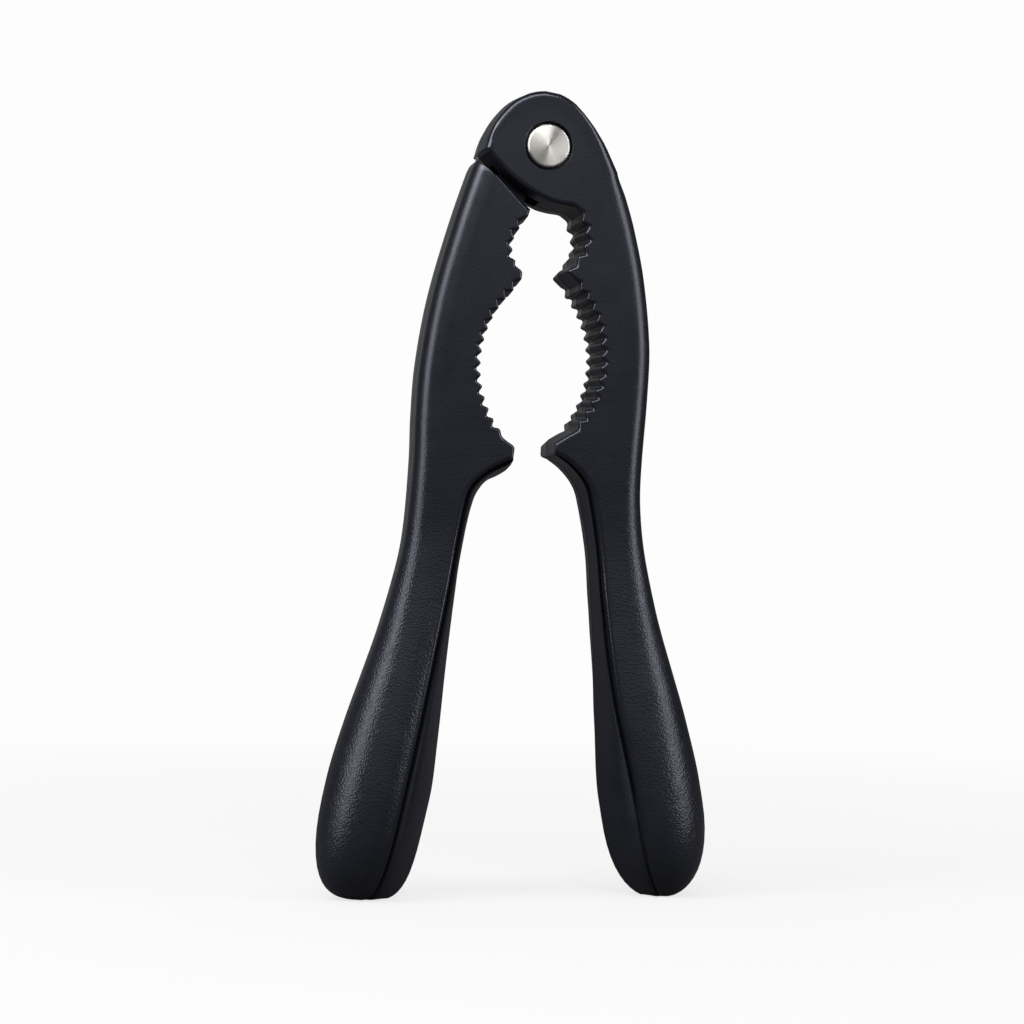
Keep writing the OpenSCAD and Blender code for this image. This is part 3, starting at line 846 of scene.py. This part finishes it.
def cells(size_mm):
    """Texture scale that makes a pattern's cells this wide, since object coordinates are in metres."""
    return 1 / (size_mm * MM)


def dress(pieces, material):
    for piece in pieces:
        piece.data.materials.clear()
        piece.data.materials.append(material)


print("a 0.5 mm pattern has scale", cells(0.5))


# %% [markdown]
# ## The coat on the levers
# The levers are cast aluminium with a thin satin coat, blue-black. The cast skin shows through it: a
# maze of fine ridges, 0.6 mm apart, all over the handles, and only fine grit on the jaws and the
# head. Waves along x, y and z that are multiplied in pairs and added, and bent by noise, draw such a
# maze on a surface that faces any way. They are slanted, so that no row of it follows an edge.

# %% The relief of the cast skin
RIDGE_MM = 0.62
GRIT_MM = 0.5  # real grit is about 0.1 mm, too fine to show here, so it is drawn as coarse as it needs
SWAY_MM, SWAY_REACH = 1.8, 1.7 * MM  # how wide the bends are, and how far they reach
RELIEF = 0.013 * MM  # the height of the ridges
HANDLE_TOP, HANDLE_FULL = 0.118, 0.07  # the maze fades in between these heights, in metres
coat, tree = new_material("satin_coat_on_cast_aluminium")
spot = add(tree, "ShaderNodeTexCoord")
up = add(tree, "ShaderNodeSeparateXYZ", [(0, spot, "Object")])
low = add(tree, "ShaderNodeMapRange", [(0, up, "Z")],
          [(1, HANDLE_TOP), (2, HANDLE_FULL), (3, 0.12), (4, 1.0)])
as_cast = add(tree, "ShaderNodeAttribute", attribute_name="as_cast")
handle = add(tree, "ShaderNodeMath", [(0, low, 0), (1, as_cast, "Fac")], operation="MULTIPLY")
sway = add(tree, "ShaderNodeTexNoise", [("Vector", spot, "Object")],
           [("Scale", cells(SWAY_MM)), ("Detail", 1.0)])
slanted = add(tree, "ShaderNodeVectorRotate", [("Vector", spot, "Object")], [("Rotation", (0.6, 0.45, 0.8))],
              rotation_type="EULER_XYZ")
swayed = add(tree, "ShaderNodeVectorMath", [(0, sway, "Color"), (2, slanted, 0)],
             [(1, (SWAY_REACH,) * 3)], operation="MULTIPLY_ADD")
wave = math.tau * cells(RIDGE_MM) / math.sqrt(2)
phase = add(tree, "ShaderNodeVectorMath", [(0, swayed, 0)], [(1, (wave,) * 3)], operation="MULTIPLY")
parts = add(tree, "ShaderNodeSeparateXYZ", [(0, phase, 0)])
turned_round = add(tree, "ShaderNodeCombineXYZ", [("X", parts, "Y"), ("Y", parts, "Z"), ("Z", parts, "X")])
sines = add(tree, "ShaderNodeVectorMath", [(0, phase, 0)], operation="SINE")
cosines = add(tree, "ShaderNodeVectorMath", [(0, turned_round, 0)], operation="COSINE")
maze = add(tree, "ShaderNodeVectorMath", [(0, sines, 0), (1, cosines, 0)], operation="DOT_PRODUCT")
ridges = add(tree, "ShaderNodeMath", [(0, maze, "Value"), (1, handle, 0)], operation="MULTIPLY")
grit = add(tree, "ShaderNodeTexNoise", [("Vector", spot, "Object")],
           [("Scale", cells(GRIT_MM)), ("Detail", 2.0)])
height = add(tree, "ShaderNodeMath", [(0, grit, "Fac"), (2, ridges, 0)], [(1, 2.2)], operation="MULTIPLY_ADD")
grain = add(tree, "ShaderNodeBump", [("Height", height, 0)], [("Strength", 1.0), ("Distance", RELIEF)])
print("ridges", RIDGE_MM, "mm apart, grit", GRIT_MM, "mm")

# %% [markdown]
# The coat's colour and gloss vary a little from place to place, as a sprayed coat's do. Handling has
# polished the edges, so they glint. The groove beside the panel gets a painted shade: its colour is
# drawn near black and its gloss duller, standing in for the shadow that falls in it.

# %% Satin coat over cast aluminium: dark, with soft bluish highlights and edges that glint
MOTTLE_MM = 6
RUBBED_GLOSS = 0.16  # roughness of an edge that hands have polished
mottle = add(tree, "ShaderNodeTexNoise", [("Vector", spot, "Object")],
             [("Scale", cells(MOTTLE_MM)), ("Detail", 2.0)])
tint = add(tree, "ShaderNodeMix", [("Factor", mottle, "Fac")], data_type="RGBA")
tint.inputs["A"].default_value = linear("#15161B")
tint.inputs["B"].default_value = linear("#1A1B21")
rubbed = add(tree, "ShaderNodeAttribute", attribute_name="rubbed")
# Painted shade: the groove beside the panel is drawn in near-black #06070B for the shadow that falls in it,
# and its roughness is raised by 0.3
groove_shade = add(tree, "ShaderNodeAttribute", attribute_name="groove_shade")
colour = add(tree, "ShaderNodeMix", [("Factor", groove_shade, "Fac"), ("A", tint, "Result")], data_type="RGBA")
colour.inputs["B"].default_value = linear("#06070B")
gloss = add(tree, "ShaderNodeMapRange", [(0, mottle, "Fac")], [(1, 0.3), (2, 0.7), (3, 0.28), (4, 0.33)])
edge_gloss = add(tree, "ShaderNodeMix", [("Factor", rubbed, "Fac"), ("A", gloss, 0)], [("B", RUBBED_GLOSS)],
                 data_type="FLOAT")
coat_gloss = add(tree, "ShaderNodeMath", [(0, groove_shade, "Fac"), (2, edge_gloss, "Result")], [(1, 0.3)],
                 operation="MULTIPLY_ADD")
coat_shader = add(tree, "ShaderNodeBsdfPrincipled",
                  [("Base Color", colour, "Result"), ("Roughness", coat_gloss, 0), ("Normal", grain, 0)],
                  [("IOR", 1.5), ("Specular Tint", linear("#E9EDFF"))])
add(tree, "ShaderNodeOutputMaterial", [("Surface", coat_shader, 0)])
dress((left_casting, right_casting, tongue, root), coat)
print(coat.name, "has", len(tree.nodes), "nodes")

# %% [markdown]
# ## Bright turned steel
# A facing tool leaves circles too fine to see one by one. They stretch every highlight across the
# grooves, which gives a turned disc its cone of light. Anisotropy does that when the tangent runs
# round the axis and is turned a quarter; a faint noise that varies only with the radius adds the
# uneven rings.

# %% Turned steel: bright, warm grey, with a highlight that runs out from the centre
RING_MM = 0.22  # real turning marks are about 0.05 mm apart; drawn as coarse as the render can show
turned, tree = new_material("turned_steel")
spot = add(tree, "ShaderNodeTexCoord")
centred = add(tree, "ShaderNodeVectorMath", [(0, spot, "Object")], operation="SUBTRACT")
centred.inputs[1].default_value = (pivot.x * MM, 0, pivot.z * MM)
flat = add(tree, "ShaderNodeVectorMath", [(0, centred, 0)], operation="MULTIPLY")
flat.inputs[1].default_value = (1, 0, 1)
radius = add(tree, "ShaderNodeVectorMath", [(0, flat, 0)], operation="LENGTH")
rings = add(tree, "ShaderNodeTexNoise", [("W", radius, "Value")],
            [("Scale", cells(RING_MM)), ("Detail", 4.0)], noise_dimensions="1D")
ring_gloss = add(tree, "ShaderNodeMapRange", [(0, rings, "Fac")], [(1, 0.3), (2, 0.7), (3, 0.33), (4, 0.38)])
ring_bump = add(tree, "ShaderNodeBump", [("Height", rings, "Fac")],
                [("Strength", 0.12), ("Distance", 0.01 * MM)])
round_axis = add(tree, "ShaderNodeTangent", direction_type="RADIAL", axis="Y")
turned_shader = add(tree, "ShaderNodeBsdfPrincipled",
                    [("Roughness", ring_gloss, 0), ("Normal", ring_bump, 0), ("Tangent", round_axis, 0)],
                    [("Base Color", linear("#DCD9D4")), ("Metallic", 1.0), ("Anisotropic", 0.9),
                     ("Anisotropic Rotation", 0.25)])
add(tree, "ShaderNodeOutputMaterial", [("Surface", turned_shader, 0)])
dress((barrel, screw), turned)
print(turned.name, "has", len(tree.nodes), "nodes")

# %% [markdown]
# ## Dull pressed steel
# The washers are pressed from sheet and tumbled, so they are even and dull with tiny dents.

# %% Tumbled sheet steel: grey and even
DENT_MM = 0.7
sheet_steel, tree = new_material("tumbled_sheet_steel")
place_on = add(tree, "ShaderNodeTexCoord")
dents = add(tree, "ShaderNodeTexNoise", [(0, place_on, "Object")],
            [("Scale", cells(DENT_MM)), ("Detail", 3.0)])
dent_gloss = add(tree, "ShaderNodeMapRange", [(0, dents, "Fac")], [(1, 0.3), (2, 0.7), (3, 0.4), (4, 0.55)])
dent_bump = add(tree, "ShaderNodeBump", [("Height", dents, "Fac")],
                [("Strength", 0.3), ("Distance", 0.03 * MM)])
washer_shader = add(tree, "ShaderNodeBsdfPrincipled",
                    [("Roughness", dent_gloss, 0), ("Normal", dent_bump, 0)],
                    [("Base Color", linear("#8E8E90")), ("Metallic", 1.0)])
add(tree, "ShaderNodeOutputMaterial", [("Surface", washer_shader, 0)])
dress(washers, sheet_steel)
print(sheet_steel.name, "has", len(tree.nodes), "nodes")

# %% [markdown]
# ## The studio
# The tool stands on a white table in front of a lit white backdrop. The table shows white to the
# camera and still takes a faint shadow, because a part of what the camera sees is the lit paint and
# the rest is its own light, which grows with the distance until the table joins the backdrop.

# %% Floor
BACKDROP = 0.982
TABLE_SIDE, TABLE_FRONT, TABLE_BACK = 4, -1.5, 9  # metres
build = bmesh.new()
corners = [build.verts.new((x, y, 0)) for x, y in ((-TABLE_SIDE, TABLE_FRONT), (TABLE_SIDE, TABLE_FRONT),
                                                   (TABLE_SIDE, TABLE_BACK), (-TABLE_SIDE, TABLE_BACK))]
build.faces.new(corners)
table = mesh_object("table_top", build)
paint, tree = new_material("white_table")
path = add(tree, "ShaderNodeLightPath")
shade = add(tree, "ShaderNodeMix", [("Factor", path, "Is Camera Ray")], data_type="RGBA")
shade.inputs["A"].default_value = linear("#4A4A4C")
shade.inputs["B"].default_value = linear("#C4C4C4")
matt = add(tree, "ShaderNodeBsdfDiffuse", [("Color", shade, "Result")])
glow = add(tree, "ShaderNodeEmission", [], [("Color", (1, 1, 1, 1)), ("Strength", BACKDROP)])
away = add(tree, "ShaderNodeVectorMath", [(0, add(tree, "ShaderNodeTexCoord"), "Object")], operation="LENGTH")
own_light = add(tree, "ShaderNodeMapRange", [(0, away, "Value")], [(1, 0.1), (2, 0.5), (3, 0.76), (4, 1.0)])
seen = add(tree, "ShaderNodeMath", [(0, own_light, 0), (1, path, "Is Camera Ray")], operation="MULTIPLY")
through = add(tree, "ShaderNodeMath", [(0, own_light, 0), (1, path, "Is Transmission Ray")],
              operation="MULTIPLY")
glossy = add(tree, "ShaderNodeMath", [(0, path, "Is Glossy Ray"), (2, through, 0)], [(1, 0.02)],
             operation="MULTIPLY_ADD")
share = add(tree, "ShaderNodeMath", [(0, seen, 0), (1, glossy, 0)], operation="MAXIMUM")
both = add(tree, "ShaderNodeMixShader", [(0, share, 0), (1, matt, 0), (2, glow, 0)])
add(tree, "ShaderNodeOutputMaterial", [("Surface", both, 0)])
table.data.materials.append(paint)
print("table", TABLE_SIDE * 2, "m wide")

# %% [markdown]
# ## The room
# What a dark coat mirrors matters more than how much light there is. So the room that is mirrored is
# dim all round, a little lighter straight behind the tool, and lighter above level behind the
# camera. The room that lights the pieces is brighter behind them than in front, and the room that
# the camera sees is plain white.

# %% Room
world = bpy.data.worlds.new("white_room")
bpy.context.scene.world = world
world.use_nodes = True
tree = world.node_tree
tree.nodes.clear()
path = add(tree, "ShaderNodeLightPath")
toward = add(tree, "ShaderNodeSeparateXYZ", [(0, add(tree, "ShaderNodeTexCoord"), "Generated")])
behind = add(tree, "ShaderNodeMapRange", [(0, toward, "Y")], [(1, 0.75), (2, 0.97), (3, 0.03), (4, 0.25)])
climb = add(tree, "ShaderNodeMapRange", [(0, toward, "Z")], [(1, -0.02), (2, 0.25), (3, 0.04), (4, 0.6)])
ahead = add(tree, "ShaderNodeMapRange", [(0, toward, "Y")], [(1, -0.6), (2, -0.92), (3, 0.0), (4, 1.0)])
front = add(tree, "ShaderNodeMath", [(0, climb, 0), (1, ahead, 0)], operation="MULTIPLY")
mirror = add(tree, "ShaderNodeMath", [(0, behind, 0), (1, front, 0)], operation="MAXIMUM")
fill = add(tree, "ShaderNodeMapRange", [(0, toward, "Y")], [(1, -0.1), (2, 0.5), (3, 0.2), (4, 1.0)])
room = add(tree, "ShaderNodeMix", [("Factor", path, "Is Glossy Ray"), ("A", fill, 0), ("B", mirror, 0)],
           data_type="FLOAT")
plain = add(tree, "ShaderNodeMath", [(0, path, "Is Camera Ray"), (1, path, "Is Transmission Ray")],
            operation="MAXIMUM")
level = add(tree, "ShaderNodeMix", [("Factor", plain, 0), ("A", room, "Result")], [("B", BACKDROP)],
            data_type="FLOAT")
sky = add(tree, "ShaderNodeBackground", [("Strength", level, "Result")], [("Color", (1, 1, 1, 1))])
add(tree, "ShaderNodeOutputWorld", [("Surface", sky, 0)])
print(world.name, "has", len(tree.nodes), "nodes")

# %% [markdown]
# ## Soft boxes
# Tall soft boxes stand to the left and right in front of the tool, and a wide one hangs above. Their
# mirror images are the long bands along the outer edges and the thin lines on every edge that faces
# up.


# %% Soft boxes
AIM = Vector((0, 0, 0.1))  # the tool's middle


def soft_box(name, angle, climb, distance, width, height, radiance):
    """A lamp seen from AIM: degrees to the right of the front and above level, then metres."""
    data = bpy.data.lights.new(name, "AREA")
    data.shape = "RECTANGLE"
    data.size, data.size_y = width, height
    data.energy = radiance * math.pi * width * height
    lamp = bpy.data.objects.new(name, data)
    bpy.context.scene.collection.objects.link(lamp)
    a, e = math.radians(angle), math.radians(climb)
    to_lamp = Vector((math.sin(a) * math.cos(e), -math.cos(a) * math.cos(e), math.sin(e)))
    lamp.location = AIM + to_lamp * distance
    lamp.rotation_euler = to_lamp.to_track_quat("Z", "Y").to_euler()
    print(name, "at", [round(x, 2) for x in lamp.location])
    return lamp


soft_box("left_box", -73, 24, 0.75, 0.36, 0.85, 4.3)
soft_box("right_box", 61, 18, 0.75, 0.34, 0.75, 4.3)
soft_box("top_strip", -30, 52, 0.75, 1.15, 0.30, 6.0)

# %% [markdown]
# ## Last look
# The view transform is Standard, so colours come out as written.

# %% Finish
bpy.context.scene.view_settings.view_transform = "Standard"
